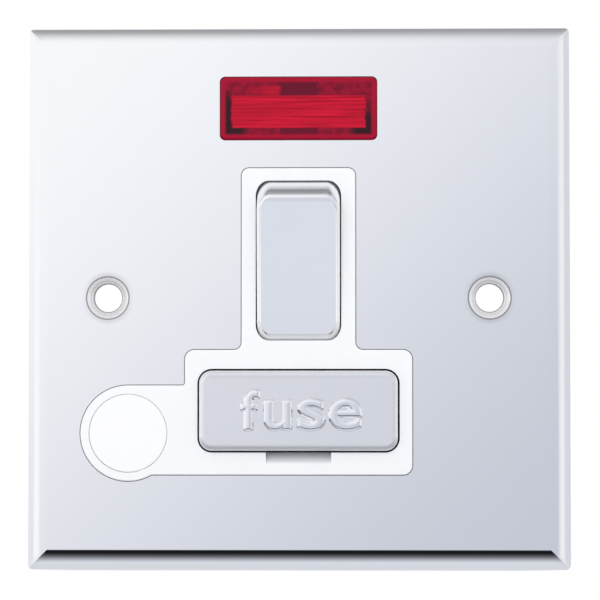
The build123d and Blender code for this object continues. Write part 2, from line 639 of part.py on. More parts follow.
def supply_contact(side):
    """From a supply terminal to the fixed contact behind the bridge's upper end."""
    x = sorted((side * POLE_EDGE, side * TERMINAL_INNER))
    button = rod((side * POLE_X, ROCKER_Z + CONTACT_ARM), TIP_RADIUS + TIP_GAP, CONTACT_Y, STRIP_FRONT)
    return on_floor(x, CONTACT_Z) + button


def fuse_leaves(x):
    """Two springy leaves that grip a fuse end, flared at the mouth."""
    mouth = FUSE_Y - LEAF_MOUTH
    upper = [
        (STRIP_FRONT, LEAF_RISE),
        (mouth, LEAF_RISE),
        (mouth - LEAF, LEAF_RISE + LEAF),
        (mouth - LEAF, LEAF_RISE + 2 * LEAF),
        (mouth, LEAF_RISE + LEAF),
        (STRIP_FRONT, LEAF_RISE + LEAF),
    ]
    leaf = extrude(Plane.YZ * make_face(Polyline(*upper, close=True)), amount=STRIP_WIDTH / 2, both=True)
    pair = leaf + mirror(leaf, about=Plane.XY)
    return Pos((x[0] + x[1]) / 2, 0, FUSE_Z) * pair


def neutral_link():
    """Neutral saddle and its strip to the neutral load terminal."""
    return saddle(-1) + on_floor((-TERMINAL_INNER, -POLE_EDGE), SADDLE_Z)


def live_link():
    """Live saddle and its strip down to the right-hand fuse clip."""
    link = saddle(1) + on_floor((POLE_EDGE, LEAF_RIGHT[1]), SADDLE_Z)
    return link + on_floor(LEAF_RIGHT, (CLIP_Z[0], SADDLE_Z[1])) + fuse_leaves(LEAF_RIGHT)


def load_clip():
    """Left-hand fuse clip and its strip to the live load terminal."""
    clip = on_floor(LEAF_LEFT, (CLIP_Z[0], LOAD_Z[1])) + fuse_leaves(LEAF_LEFT)
    return clip + on_floor((-TERMINAL_INNER, LEAF_LEFT[1]), LOAD_Z)


# Fuse and drawer


def fuse_barrel():
    return cross_rod(*about(0, FUSE_LENGTH - 2 * FUSE_CAP_WALL), FUSE_Y, FUSE_Z, FUSE_RADIUS - FUSE_CAP_WALL)


def fuse_caps():
    caps = []
    for side in (-1, 1):
        x = sorted((side * FUSE_LENGTH / 2, side * (FUSE_LENGTH / 2 - FUSE_CAP_LENGTH)))
        caps.append(cross_rod(*x, FUSE_Y, FUSE_Z, FUSE_RADIUS) - fuse_barrel())
    return Compound(children=caps)


def carrier_face():
    """Chromed pan on the front of the drawer."""
    pan = slab(rounded(2 * CARRIER_HALF, 2 * CARRIER_RISE, CARRIER_ROUND, 0, FUSE_Z), CARRIER_FACE, PAN_BACK)
    pan = fillet_front(pan, CARRIER_EDGE)
    return pan - slab(pan_inside(0), CARRIER_FACE + PAN_WALL, PAN_BACK)


def pan_inside(fit):
    wall = PAN_WALL + fit
    return rounded(2 * (CARRIER_HALF - wall), 2 * (CARRIER_RISE - wall), CARRIER_ROUND - PAN_WALL, 0, FUSE_Z)


def fuse_carrier():
    """Drawer: a front in the chromed pan, two end rails and a cradle under the fuse."""
    front_back = PAN_BACK + DRAWER_WALL
    body = slab(rounded(2 * CARRIER_HALF, 2 * CARRIER_RISE, CARRIER_ROUND, 0, FUSE_Z), PAN_BACK, front_back)
    body += slab(pan_inside(CAP_FIT), CARRIER_FACE + PAN_WALL + CAP_FIT, PAN_BACK)
    rail_half = FUSE_RADIUS + CRADLE_FLOOR
    for side in (-1, 1):
        rail_x = sorted((side * (CARRIER_HALF - RAIL), side * CARRIER_HALF))
        body += block(rail_x, (front_back, RAIL_END), about(FUSE_Z, 2 * rail_half))
        lug_x = sorted((side * (CARRIER_HALF - LUG), side * (CARRIER_HALF + LUG)))
        body += block(lug_x, (RAIL_END - LUG_LENGTH, RAIL_END), about(FUSE_Z, LUG_HEIGHT))
    cradle_y = (front_back, FUSE_Y + FUSE_RADIUS + CRADLE_FLOOR)
    body += block(about(0, 2 * CRADLE_HALF), cradle_y, (FUSE_Z - rail_half, FUSE_Z + CRADLE_FLOOR))
    seat = FUSE_RADIUS + FUSE_FIT
    body -= cross_rod(-CRADLE_HALF, CRADLE_HALF, FUSE_Y, FUSE_Z, seat)
    body -= block(about(0, 2 * CRADLE_HALF), about(FUSE_Y, 2 * seat), (FUSE_Z, FUSE_Z + CRADLE_FLOOR))
    return body


# Flex outlet


def flex_outlet_blank():
    """Push-in cup that closes the flex outlet."""
    centre, radius = (FLEX_X, FLEX_Z), FLEX_RADIUS - BLANK_FIT
    cup = fillet_front(rod(centre, radius, INSERT_FACE, INSERT_FACE + BLANK_SKIRT), INSERT_EDGE)
    return cup - rod(centre, radius - BLANK_WALL, INSERT_FACE + BLANK_FACE, INSERT_FACE + BLANK_SKIRT)


def cord_clamp():
    back = CLAMP_BOSS_BACK + CLAMP_THICKNESS
    length = CLAMP_SPAN + 2 * CLAMP_BOSS_RADIUS
    outline = rounded(length, CLAMP_WIDTH, CLAMP_BOSS_RADIUS, sum(CLAMP_XS) / 2, CLAMP_Z)
    bar = slab(outline, CLAMP_BOSS_BACK, back)
    for point in CLAMP_POINTS:
        bar -= rod(point, CLAMP_SCREW_RADIUS + SCREW_CLEAR, CLAMP_BOSS_BACK, back)
    return bar


def cord_clamp_screws():
    seat = CLAMP_BOSS_BACK + CLAMP_THICKNESS
    return Compound(
        children=[
            screw(point, CLAMP_SCREW_RADIUS, CLAMP_HEAD_RADIUS, CLAMP_HEAD, seat, DECK_BACK + CLAMP_THICKNESS)
            for point in CLAMP_POINTS
        ]
    )


# Terminals


def terminal(point, rows=1):
    """A brass pillar block: wires come in from the side, screws from behind."""
    x, top_z = point
    zs = [top_z - row * TERMINAL_PITCH for row in range(rows)]
    z = (zs[-1] - TERMINAL_HEIGHT / 2, top_z + TERMINAL_HEIGHT / 2)
    body = block(about(x, TERMINAL_WIDTH), (TERMINAL_FRONT, FLOOR), z)
    for row_z in zs:
        body -= cross_rod(*about(x, TERMINAL_WIDTH), WIRE_Y, row_z, WIRE_RADIUS)
        body -= rod((x, row_z), TERMINAL_SCREW_RADIUS + TERMINAL_SCREW_FIT, WIRE_Y, FLOOR)
    return body


def terminal_screws():
    tip = WIRE_Y + WIRE_RADIUS + TERMINAL_SCREW_FIT
    return Compound(
        children=[
            screw(point, TERMINAL_SCREW_RADIUS, TERMINAL_HEAD_RADIUS, TERMINAL_HEAD, FLOOR, tip)
            for point in TERMINAL_POINTS
        ]
    )


def strap_foot():
    """The X and Z limits of the earth strap's foot on the back of the plate."""
    return (TERMINAL_INNER, TERMINAL_INNER + STRAP_FOOT), about(STRAP_Z, STRAP_WIDTH)


def earth_strap():
    """A folded strip from the earth block forward to the back of the plate."""
    (left, right), z = strap_foot()
    line = [
        (right, SHEET_BACK),
        (left, SHEET_BACK),
        (left, TERMINAL_FRONT),
        (right, TERMINAL_FRONT),
        (right, TERMINAL_FRONT - STRIP),
        (left + STRIP, TERMINAL_FRONT - STRIP),
        (left + STRIP, SHEET_BACK + STRIP),
        (right, SHEET_BACK + STRIP),
    ]
    fold = make_face(Polyline(*line, close=True))
    return Pos(0, 0, z[0]) * extrude(fold, amount=STRAP_WIDTH)


# Rear housing


def housing_outline(inset):
    """The housing seen from the front, with its lower left corner stepped in beside the flex outlet."""
    half, step_x, step_z = HOUSING_HALF - inset, STEP_X - inset, STEP_Z + inset
    points = [
        (-step_x, HOUSING_LOW + inset),
        (-step_x, step_z),
        (-half, step_z),
        (-half, HOUSING_TOP - inset),
        (half, HOUSING_TOP - inset),
        (half, HOUSING_LOW + inset),
    ]
    outward = HOUSING_INNER_ROUND + HOUSING_WALL - inset
    inward = HOUSING_INNER_ROUND + inset
    return make_face(FilletPolyline(*points, radius=[outward, inward] + [outward] * 4, close=True))


def pocket_ribs():
    """Walls round the terminals, on the housing floor."""
    y = (FLOOR - POCKET_DEPTH, FLOOR)
    inner = TERMINAL_X - POCKET_HALF
    gap = TERMINAL_HEIGHT / 2 + CLEARANCE
    top, low = TERMINAL_Z[0] + gap + POCKET_RIB, TERMINAL_Z[2] - gap - POCKET_RIB
    outer = HOUSING_HALF - HOUSING_WALL / 2
    under_first, under_second = [z - gap - POCKET_RIB for z in TERMINAL_Z[:2]]
    left, right = [low, under_second, under_first], [low, under_first]
    ribs = []
    for side, edges in ((-1, left), (1, right)):
        ribs.append(block(sorted((side * (inner - POCKET_RIB), side * inner)), y, (low, top)))
        for z in edges + [top - POCKET_RIB]:
            ribs.append(block(sorted((side * inner, side * outer)), y, (z, z + POCKET_RIB)))
    return ribs


def strip_slot(x, z):
    """Room for a strip that lies on the floor."""
    return block(
        (x[0] - CLEARANCE, x[1] + CLEARANCE),
        (STRIP_FRONT - CLEARANCE, FLOOR),
        (z[0] - CLEARANCE, z[1] + CLEARANCE),
    )


def rear_housing():
    body = slab(housing_outline(0), DECK_BACK, HOUSING_DEPTH)
    body -= slab(housing_outline(HOUSING_WALL), DECK_BACK, FLOOR)
    for rib in pocket_ribs():
        body += rib
    for point in PILLAR_POINTS:
        body += rod(point, PILLAR_RADIUS, PILLAR_BACK, FLOOR)
    holder_top = HOUSING_TOP - HOUSING_WALL / 2
    for side in (-1, 1):
        holder_z = (LENS_Z - LAMP_RADIUS - LAMP_HOLDER, holder_top)
        body += block(about(side * LAMP_HOLDER_X, LAMP_HOLDER), (LAMP_DEPTH, FLOOR), holder_z)
    body -= cross_rod(-LAMP_LENGTH, LAMP_LENGTH, LAMP_DEPTH, LENS_Z, LAMP_RADIUS + LAMP_FIT)
    barrier_front = PIVOT_Y + PLUNGER_REACH - BRIDGE_THICKNESS
    body += block(about(0, BARRIER), (barrier_front, FLOOR), about(ROCKER_Z, 2 * BRIDGE_HALF))
    for side in (-1, 1):
        stop_z = (ROCKER_Z - BRIDGE_HALF, ROCKER_Z - CONTACT_ARM + TIP_RADIUS)
        body += block(about(side * POLE_X, 2 * TIP_RADIUS), (STOP_Y, FLOOR), stop_z)
    inner = TERMINAL_INNER
    body -= strip_slot((-inner, -POLE_EDGE), CONTACT_Z)
    body -= strip_slot((POLE_EDGE, inner), CONTACT_Z)
    body -= strip_slot((-inner, -POLE_EDGE), SADDLE_Z)
    body -= strip_slot((-inner, LEAF_LEFT[1]), LOAD_Z)
    for x, z in TERMINAL_POINTS:
        body -= rod((x, z), TERMINAL_HEAD_RADIUS + HEAD_FIT, FLOOR, HOUSING_DEPTH)
        side = math.copysign(1, x)
        entry = sorted((side * (TERMINAL_X + TERMINAL_WIDTH / 2), side * HOUSING_HALF))
        body -= cross_rod(*entry, WIRE_Y, z, WIRE_ENTRY_RADIUS)
    for point in PILLAR_POINTS:
        body -= rod(point, SCREW_RADIUS + SCREW_CLEAR, PILLAR_BACK, HOUSING_DEPTH)
        body -= rod(point, SCREW_HEAD_RADIUS + HEAD_FIT, HOUSING_DEPTH - SCREW_HEAD_SINK, HOUSING_DEPTH)
    return body


def housing_screws():
    seat = HOUSING_DEPTH - SCREW_HEAD_SINK
    return Compound(
        children=[
            screw(point, SCREW_RADIUS, SCREW_HEAD_RADIUS, SCREW_HEAD, seat, PILLAR_BACK - SCREW_BITE)
            for point in PILLAR_POINTS
        ]
    )


# One STEP file for each piece

left_column = [(-TERMINAL_X, z) for z in TERMINAL_Z]
right_column = [(TERMINAL_X, z) for z in TERMINAL_Z]
nodes = {
    "front_plate": front_plate(),
    "plate_retainers": plate_retainers(),
    "insert_moulding": insert_moulding(),
    "rear_housing": rear_housing(),
    "housing_screws": housing_screws(),
    "neon_lens": neon_lens(),
    "neon_lamp": neon_lamp(),
    "neon_resistor": neon_resistor(),
    "neon_leads": neon_leads(),
    "rocker_cap": rocker_cap(),
    "rocker_body": rocker_body(),
    "neutral_link": neutral_link(),
    "live_link": live_link(),
    "load_clip": load_clip(),
    "fuse_carrier": fuse_carrier(),
    "carrier_face": carrier_face(),
    "fuse_barrel": fuse_barrel(),
    "fuse_caps": fuse_caps(),
    "flex_outlet_blank": flex_outlet_blank(),
    "cord_clamp": cord_clamp(),
    "cord_clamp_screws": cord_clamp_screws(),
    "neutral_supply_terminal": terminal(left_column[0]),
    "neutral_load_terminal": terminal(left_column[1]),
    "live_load_terminal": terminal(left_column[2]),
    "live_supply_terminal": terminal(right_column[0]),
    "earth_terminal": terminal(right_column[1], rows=2),
    "earth_strap": earth_strap(),
    "terminal_screws": terminal_screws(),
}
for side, pole in ((-1, "neutral"), (1, "live")):
    nodes[f"{pole}_plunger"] = plunger(side)
    nodes[f"{pole}_plunger_spring"] = plunger_spring(side)
    nodes[f"{pole}_contact_bridge"] = contact_bridge(side)
    nodes[f"{pole}_bridge_tip"] = bridge_tip(side)
    nodes[f"{pole}_supply_contact"] = supply_contact(side)

os.makedirs("parts", exist_ok=True)
for name, solid in nodes.items():
    export_step(solid, f"parts/{name}.step")
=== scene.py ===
import math

import bpy
import numpy as np
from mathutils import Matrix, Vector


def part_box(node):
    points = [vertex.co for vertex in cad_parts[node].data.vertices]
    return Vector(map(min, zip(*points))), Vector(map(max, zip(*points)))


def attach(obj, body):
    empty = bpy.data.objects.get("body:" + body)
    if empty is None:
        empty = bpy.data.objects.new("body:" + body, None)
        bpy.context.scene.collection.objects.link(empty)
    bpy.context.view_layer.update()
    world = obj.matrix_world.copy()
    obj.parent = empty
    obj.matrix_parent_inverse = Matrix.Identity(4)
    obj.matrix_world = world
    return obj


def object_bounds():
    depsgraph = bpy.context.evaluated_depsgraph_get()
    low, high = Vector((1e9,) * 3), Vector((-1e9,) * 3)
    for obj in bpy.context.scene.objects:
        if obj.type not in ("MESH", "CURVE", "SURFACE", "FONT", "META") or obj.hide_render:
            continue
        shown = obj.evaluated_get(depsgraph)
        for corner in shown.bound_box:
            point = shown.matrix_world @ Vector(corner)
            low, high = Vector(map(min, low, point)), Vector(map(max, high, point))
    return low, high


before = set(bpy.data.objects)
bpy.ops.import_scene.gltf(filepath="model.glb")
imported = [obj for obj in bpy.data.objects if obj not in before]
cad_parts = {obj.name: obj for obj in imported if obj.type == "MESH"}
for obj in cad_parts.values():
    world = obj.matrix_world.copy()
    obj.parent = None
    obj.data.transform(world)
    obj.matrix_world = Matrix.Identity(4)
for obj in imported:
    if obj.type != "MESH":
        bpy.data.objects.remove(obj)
cad_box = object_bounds()


# Insert moulding: the white face in the plate's opening, with the rocker's well and the drawer's tunnel.
# It is one piece of moulded urea with a fine satin face, held to the plate by studs and push-on washers.

MM = 0.001


class Shade:
    """A socket of a material's node tree. Arithmetic on it adds Math nodes to that tree."""

    def __init__(self, tree, socket):
        self.tree = tree
        self.socket = socket

    def node(self, kind, settings=None, sockets=None, out=0):
        """A node of any type: its settings are set first, then the values or links of its sockets."""
        made = self.tree.nodes.new(kind)
        for name, value in (settings or {}).items():
            setattr(made, name, value)
        fill(made, sockets or {})
        return Shade(self.tree, made.outputs[out])

    def output(self, name):
        """Another output of the node that this socket belongs to."""
        return Shade(self.tree, self.socket.node.outputs[name])

    def parts(self):
        """The three coordinates of a vector."""
        across = self.node("ShaderNodeSeparateXYZ", None, {0: self})
        return across, across.output("Y"), across.output("Z")

    def length(self):
        """How long a vector is."""
        return self.node("ShaderNodeVectorMath", {"operation": "LENGTH"}, {0: self}, out="Value")

    def calc(self, operation, first, second=0.0):
        """A Math node on one or two values."""
        return self.node("ShaderNodeMath", {"operation": operation}, {0: first, 1: second})

    def at_least(self, other):
        """The larger of this value and another."""
        return self.calc("MAXIMUM", self, other)

    def at_most(self, other):
        """The smaller of this value and another."""
        return self.calc("MINIMUM", self, other)

    def __add__(self, other):
        return self.calc("ADD", self, other)

    def __radd__(self, other):
        return self.calc("ADD", other, self)

    def __sub__(self, other):
        return self.calc("SUBTRACT", self, other)

    def __rsub__(self, other):
        return self.calc("SUBTRACT", other, self)

    def __mul__(self, other):
        return self.calc("MULTIPLY", self, other)

    def __rmul__(self, other):
        return self.calc("MULTIPLY", other, self)

    def __truediv__(self, other):
        return self.calc("DIVIDE", self, other)

    def __rtruediv__(self, other):
        return self.calc("DIVIDE", other, self)

    def __abs__(self):
        return self.calc("ABSOLUTE", self)


def fill(node, sockets):
    """Sets each named socket of a node to a value, or links a Shade to it."""
    for name, value in sockets.items():
        if isinstance(value, Shade):
            value.tree.links.new(value.socket, node.inputs[name])
        else:
            node.inputs[name].default_value = value


def ramp(value, low, high):
    """0 below low, 1 above high and a smooth S between them; high may be the lower one, to fall instead.

    A pair of limits that a section names is such a low and high.
    """
    start, end = min(low, high), max(low, high)
    rise = value.node(
        "ShaderNodeMapRange",
        {"interpolation_type": "SMOOTHSTEP"},
        {"Value": value, "From Min": start, "From Max": end},
    )
    return rise if high > low else 1.0 - rise


def between(factor, low, high):
    """A number between two, by a factor from 0 to 1."""
    return low + (high - low) * factor


def mixed(factor, first, second):
    """A colour between two, by a factor from 0 to 1."""
    return factor.node("ShaderNodeMix", {"data_type": "RGBA"}, {0: factor, 6: first, 7: second}, out=2)


def noise(place, size, detail=2.0, stretch=(1, 1, 1)):
    """Cloudy noise from 0 to 1 with lumps of this size in metres, drawn out by the stretch on each axis."""
    drawn = place.node("ShaderNodeMapping", None, {"Vector": place, "Scale": [1 / s for s in stretch]})
    return place.node("ShaderNodeTexNoise", None, {"Vector": drawn, "Scale": 1 / size, "Detail": detail})


def finish(name, **constants):
    """A new material with its Principled shader, and the Object coordinates of the piece that wears it."""
    material = bpy.data.materials.new(name)
    material.use_nodes = True
    shader = material.node_tree.nodes["Principled BSDF"]
    fill(shader, {key.replace("_", " "): value for key, value in constants.items()})
    texture = material.node_tree.nodes.new("ShaderNodeTexCoord")
    return material, shader, Shade(material.node_tree, texture.outputs["Object"])


def grained(shader, height, depth, strength):
    """Feeds a height from 0 to 1 to the shader's normal as a bump of that depth in metres."""
    bump = height.node("ShaderNodeBump", None, {"Height": height, "Distance": depth, "Strength": strength})
    fill(shader, {"Normal": bump})


FLOW_LUMP = 6 * MM
SATIN_LUMP = 0.22 * MM
SATIN_DEPTH = 0.012 * MM
SATIN_GLOSS = 0.07


def moulded(name, pale, deep, roughness):
    """Moulded plastic: faint flow clouds in its colour, and the satin grain of a spark-finished mould.

    Returns the material, its shader and place, and the colour that a piece may change further.
    """
    material, shader, place = finish(name, IOR=1.5)
    grain = noise(place, SATIN_LUMP, detail=3.0)
    colour = mixed(noise(place, FLOW_LUMP), pale, deep)
    gloss = between(grain, roughness - SATIN_GLOSS, roughness + SATIN_GLOSS)
    fill(shader, {"Base Color": colour, "Roughness": gloss})
    grained(shader, grain, SATIN_DEPTH, strength=0.35)
    return material, shader, place, colour


def dress(material, *names):
    """CAD nodes take this material in the first slot that model.glb gave them."""
    for name in names:
        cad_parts[name].material_slots[0].material = material


UREA_WHITE = ((0.93, 0.94, 0.965, 1), (0.905, 0.915, 0.945, 1))
SCOOP_HALF = 5.2 * MM
SCOOP_DEPTH = 1.6 * MM
SCOOP_BACK = (2.0, 1.2)
SCOOP_BELOW = 1.8 * MM
SCOOP_ABOVE = 0.3 * MM
SCOOP_EDGE = 0.05 * MM
SCOOP_PAINTED_SHADE = (0.34, 0.345, 0.36, 1)
insert_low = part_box("insert_moulding")[0]
drawer_low, drawer_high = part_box("carrier_face")
scoop_low, scoop_high = drawer_low.z - SCOOP_BELOW, drawer_low.z + SCOOP_ABOVE
insert_white, shader, place, colour = moulded("insert_white", *UREA_WHITE, roughness=0.3)
x, y, z = place.parts()
# Painted shade: the hollow under the drawer is darkened in the insert's colour, more the deeper it goes.
depth = (y - insert_low.y) / SCOOP_DEPTH
scoop = ramp(abs(x), SCOOP_HALF + SCOOP_EDGE, SCOOP_HALF) * ramp(depth, *SCOOP_BACK)
scoop = scoop * ramp(z, scoop_low - SCOOP_EDGE, scoop_low) * ramp(z, scoop_high + 2 * SCOOP_EDGE, scoop_high)
scoop_painted_shade = depth.at_least(0.0).at_most(1.0) * scoop
fill(shader, {"Base Color": mixed(scoop_painted_shade, colour, SCOOP_PAINTED_SHADE)})
dress(insert_white, "insert_moulding")
carrier_white = moulded("carrier_white", *UREA_WHITE, roughness=0.34)[0]
dress(carrier_white, "rocker_body", "fuse_carrier")


# Neon: a small gas lamp on its side, with a dropper resistor and sleeved leads to the load terminals.
# The lamp is glass, and the resistor is lacquered and banded; both hang in the housing behind the lens.

SMOKE_LUMP = 2.5 * MM
SMOKE_GLOSS = (0.03, 0.08)
SMOKE_TINT = ((0.97, 0.9, 0.84, 1), (0.9, 0.74, 0.62, 1))
lamp_glass, shader, place = finish("lamp_glass", IOR=1.45, Transmission_Weight=0.9)
smoke = noise(place, SMOKE_LUMP)
fill(shader, {"Base Color": mixed(smoke, *SMOKE_TINT), "Roughness": between(smoke, *SMOKE_GLOSS)})
dress(lamp_glass, "neon_lamp")

LACQUER_LUMP = 0.6 * MM
LACQUER_GLOSS_LUMP = 0.4 * MM
LACQUER_GLOSS = (0.3, 0.45)
LACQUER = ((0.66, 0.55, 0.36, 1), (0.58, 0.47, 0.3, 1))
BANDS = ((0.25, (0.09, 0.05, 0.03, 1)), (0.42, (0.02, 0.02, 0.02, 1)), (0.59, (0.55, 0.38, 0.02, 1)))
BAND_HALF = (0.055, 0.045)
resistor_low, resistor_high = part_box("neon_resistor")
resistor_coat, shader, place = finish("resistor_coat", Coat_Weight=0.4)
x, y, z = place.parts()
share = (z - resistor_low.z) / (resistor_high.z - resistor_low.z)
colour = mixed(noise(place, LACQUER_LUMP), *LACQUER)
for middle, paint in BANDS:
    colour = mixed(ramp(abs(share - middle), *BAND_HALF), colour, paint)
fill(shader, {"Base Color": colour, "Roughness": between(noise(place, LACQUER_GLOSS_LUMP), *LACQUER_GLOSS)})
dress(resistor_coat, "neon_resistor")

SCUFF_LUMP = 0.5 * MM
SLEEVE_GLOSS = (0.4, 0.6)
SLEEVE = ((0.82, 0.8, 0.76, 1), (0.74, 0.71, 0.66, 1))
lead_sleeve, shader, place = finish("lead_sleeve")
scuff = noise(place, SCUFF_LUMP)
fill(shader, {"Base Color": mixed(scuff, *SLEEVE), "Roughness": between(scuff, *SLEEVE_GLOSS)})
dress(lead_sleeve, "neon_leads")


# Neon lens: clear red plastic trapped behind the plate, with prism ribs across its inside.
# Its thick border gathers light, the ribs scatter it, and a bare band between lets the dark housing show.
# Here the lens is opaque, and that light and shade are painted into its colour.

LENS_LIP = 1.0 * MM
LENS_BORDER = 0.8 * MM
LENS_CLOUD = 1.2 * MM
LENS_WOBBLE = 1.2 * MM
SOFT = 0.25 * MM
RIB_PITCH = 0.6 * MM
RIBS_HALF_X = 10.4 * MM
RIBS_HALF_Z = 2.43 * MM
RIBS_BELOW = 0.56 * MM
RIB_EVEN, RIB_WAVE, RIB_STREAK = 0.22, 0.2, 0.58
STREAK_LUMP = 0.42 * MM
STREAK_STRETCH = (22, 1, 1)
STREAK_RANGE = (0.34, 0.66)
GLOW_X, GLOW_Z = -5.5 * MM, 2.7 * MM
GLOW_HALF_X = (2.9 * MM, 2.2 * MM)
GLOW_HALF_Z = (1.0 * MM, 0.5 * MM)
GLOW_SLOPE = (GLOW_X - 1.2 * MM, GLOW_X + 1.0 * MM)
GLOW_DIM = 0.35
GLOW_SHARE = 0.8
SHADE_HEIGHT = (3.8 * MM, 0.6 * MM)
SHADE_DROP = 2.2 * MM
SHADE_SLOPE = (-1.0 * MM, 1.0 * MM)
CORNER_X = (7.4 * MM, 9.2 * MM)
CORNER_Z = (-2.7 * MM, -3.2 * MM)
LENS_LAMP_SHADOW_HALF = 2.8 * MM
POOL_RANGE = (0.3, 0.7)
LENS_GLOSS = (0.1, 0.2)
# The border's red is brighter: painted light, as gathered in the thick border.
LENS_RIM_PAINTED_LIGHT = (0.36, 0.003, 0.027, 1)
LENS_PAINTED_SHADE = (0.03, 0.008, 0.013, 1)
LENS_LAMP_SHADOW = (0.13, 0.004, 0.022, 1)
LENS_POOL = ((0.17, 0.003, 0.02, 1), (0.31, 0.004, 0.026, 1))
LENS_RIBS_PAINTED_LIGHT = ((0.33, 0.002, 0.018, 1), (0.66, 0.006, 0.034, 1))
lens_low, lens_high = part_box("neon_lens")
inner_x, _, inner_z = [side / 2 - LENS_LIP - LENS_BORDER for side in lens_high - lens_low]
lens_red, shader, place = finish("lens_red", IOR=1.49, Specular_IOR_Level=0.13)
x, y, z = place.parts()
cloud = noise(place, LENS_CLOUD, detail=3.0)
wobble = LENS_WOBBLE * (cloud - 0.5)
width, height = abs(x), z - (lens_low.z + lens_high.z) / 2
inside = ramp(width, inner_x + SOFT, inner_x - SOFT) * ramp(abs(height), inner_z + SOFT, inner_z - SOFT)
ribbed = ramp(width + wobble, RIBS_HALF_X + SOFT, RIBS_HALF_X)
ribbed = ribbed * ramp(abs(height + RIBS_BELOW), RIBS_HALF_Z + SOFT, RIBS_HALF_Z)
# A painted glow above the ribs, left of the middle and dimmer further left, takes the ribs' painted light.
painted_glow = ramp(abs(x - GLOW_X) + wobble, *GLOW_HALF_X) * ramp(abs(height - GLOW_Z) + wobble, *GLOW_HALF_Z)
painted_glow = painted_glow * between(ramp(x, *GLOW_SLOPE), GLOW_DIM, 1.0)
wave = height.calc("SINE", height * (math.tau / RIB_PITCH))
streak = ramp(noise(place, STREAK_LUMP, stretch=STREAK_STRETCH), *STREAK_RANGE)
# Painted shade beside the ribs' ends, reaching higher on the left, and in the lens's lower corners.
painted_shade_beside = ramp(width + wobble, RIBS_HALF_X - SOFT, RIBS_HALF_X + 2 * SOFT)
painted_shade_beside = painted_shade_beside * ramp(height + 2 * wobble + SHADE_DROP * ramp(x, *SHADE_SLOPE), *SHADE_HEIGHT)
below = ramp(width + 2 * wobble, *CORNER_X) * ramp(height, *CORNER_Z)
# The ribs are painted lighter, as the light they scatter back, in stripes at the pitch of the real ribs.
painted_rib_light = mixed(RIB_EVEN + RIB_WAVE * wave + RIB_STREAK * streak, *LENS_RIBS_PAINTED_LIGHT)
colour = mixed(ramp(cloud, *POOL_RANGE), *LENS_POOL)
# A painted shadow of the lamp darkens the middle of the lens.
colour = mixed(ramp(width + wobble, LENS_LAMP_SHADOW_HALF + 2 * SOFT, LENS_LAMP_SHADOW_HALF), colour, LENS_LAMP_SHADOW)
colour = mixed(painted_shade_beside.at_least(below), colour, LENS_PAINTED_SHADE)
colour = mixed(ribbed.at_least(GLOW_SHARE * painted_glow), colour, painted_rib_light)
# Outside the border's inner edge the colour is the brighter red of painted light.
colour = mixed(inside, LENS_RIM_PAINTED_LIGHT, colour)
fill(shader, {"Base Color": colour, "Roughness": between(cloud, *LENS_GLOSS)})
dress(lens_red, "neon_lens")
# The chrome round the lens takes no red from it.
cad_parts["neon_lens"].visible_glossy = False


# Rocker: a chromed cap pressed on a white body, which turns on two trunnions in the insert's cheeks.
# Sprung plungers in its back tip the contact bridges; the cap is polished, so it mirrors the room.

CHROME = (0.955, 0.96, 0.97, 1)
POLISH_LUMP = 3.0 * MM
POLISH_TONE = 0.985
PEEL_LUMP = 1.1 * MM
PEEL_DEPTH = 0.0006 * MM


def plated(name, tone, roughness, swirl):
    """Chrome plate: a mirror with faint cloudy polishing in its gloss and a slight orange-peel in its level.

    Returns the material, its shader and place, and the colour and roughness that a piece may change further.
    """
    material, shader, place = finish(name, Metallic=1.0)
    cloud = noise(place, POLISH_LUMP, detail=4.0)
    dulled = [POLISH_TONE * channel for channel in tone[:3]] + [1]
    colour, gloss = mixed(cloud, tone, dulled), between(cloud, roughness, roughness + swirl)
    fill(shader, {"Base Color": colour, "Roughness": gloss})
    grained(shader, noise(place, PEEL_LUMP, detail=1.0), PEEL_DEPTH, strength=0.2)
    return material, shader, place, colour, gloss


CAP_UPPER_END = 15.0 * MM
CAP_UPPER_DULL = 0.18
CAP_LOWER_END = -5.75 * MM
CAP_LOWER_DULL = 0.45
CAP_LOWER_GREY = 0.5
CAP_CORNER = 2.4 * MM
CAP_SIDE = (5.1 * MM, 6.5 * MM)
cap_chrome, shader, place, _, gloss = plated("cap_chrome", CHROME, roughness=0.035, swirl=0.03)
x, y, z = place.parts()
upper = ramp(z, CAP_UPPER_END - SOFT, CAP_UPPER_END + SOFT)
corner = CAP_CORNER * ramp(abs(x), *CAP_SIDE)
lower = ramp(z - corner, CAP_LOWER_END + SOFT, CAP_LOWER_END - SOFT)
gloss = gloss + CAP_UPPER_DULL * upper + CAP_LOWER_DULL * lower
fill(shader, {"Roughness": gloss, "Metallic": 1.0 - CAP_LOWER_GREY * lower})
dress(cap_chrome, "rocker_cap")

plunger_resin = moulded("plunger_resin", (0.82, 0.78, 0.68, 1), (0.76, 0.71, 0.6, 1), roughness=0.4)[0]
dress(plunger_resin, "neutral_plunger", "live_plunger")

METAL_LUMP = 0.5 * MM
METAL_DEPTH = 0.004 * MM
METAL_GLOSS = 0.1


def metal(name, pale, deep, roughness, stretch=(1, 1, 1)):
    """Bright metal whose colour and gloss vary in streaks drawn out by the stretch along each axis."""
    material, shader, place = finish(name, Metallic=1.0)
    streak = noise(place, METAL_LUMP, detail=3.0, stretch=stretch)
    gloss = between(streak, roughness - METAL_GLOSS, roughness + METAL_GLOSS)
    fill(shader, {"Base Color": mixed(streak, pale, deep), "Roughness": gloss})
    grained(shader, streak, METAL_DEPTH, strength=0.3)
    return material


zinc_steel = metal("zinc_steel", (0.72, 0.74, 0.77, 1), (0.56, 0.57, 0.58, 1), roughness=0.32)
dress(zinc_steel, "neutral_plunger_spring", "live_plunger_spring")


# Contacts: bridges that rock on saddles, folded brass strips, and fixed contacts under the silver tips.
# The strips are pressed from sheet, so they keep the rolling marks, and they lie in slots of the housing.

